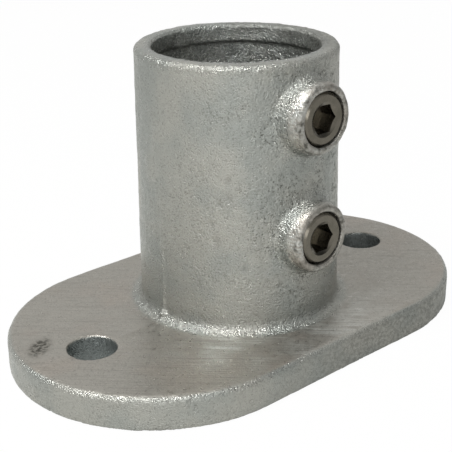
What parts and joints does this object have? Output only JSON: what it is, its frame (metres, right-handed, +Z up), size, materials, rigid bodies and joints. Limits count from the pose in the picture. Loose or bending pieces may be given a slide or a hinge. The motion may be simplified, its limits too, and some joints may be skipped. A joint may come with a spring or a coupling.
{
  "type": "tube clamp base flange",
  "caption": "Galvanised iron socket on an oblong base plate that holds an upright tube with side set screws and bolts to a floor.",
  "frame": {"origin": "centre of the plate's underside, on the axis of the tube socket", "axes": "+Z up the tube socket, +X along the plate through both fixing holes, set screws face -Y"},
  "size_m": [0.156, 0.0926, 0.09],
  "materials": {
    "galvanised_iron": "hot-dip galvanised as cast, dull zinc grey with a fine grain",
    "screw_steel": "passivated hardened steel, dark warm grey"
  },
  "bodies": {
    "casting": {"flange_casting": "galvanised_iron"},
    "upper_screw": {"upper_set_screw": "screw_steel"},
    "lower_screw": {"lower_set_screw": "screw_steel"}
  },
  "joints": [
    {"name": "upper_screw_travel", "type": "slide", "parent": "casting", "child": "upper_screw", "axis": [0, -1, 0], "range_m": [-0.00401, 0.00535]},
    {"name": "lower_screw_travel", "type": "slide", "parent": "casting", "child": "lower_screw", "axis": [0, -1, 0], "range_m": [-0.00401, 0.00535]}
  ]
}
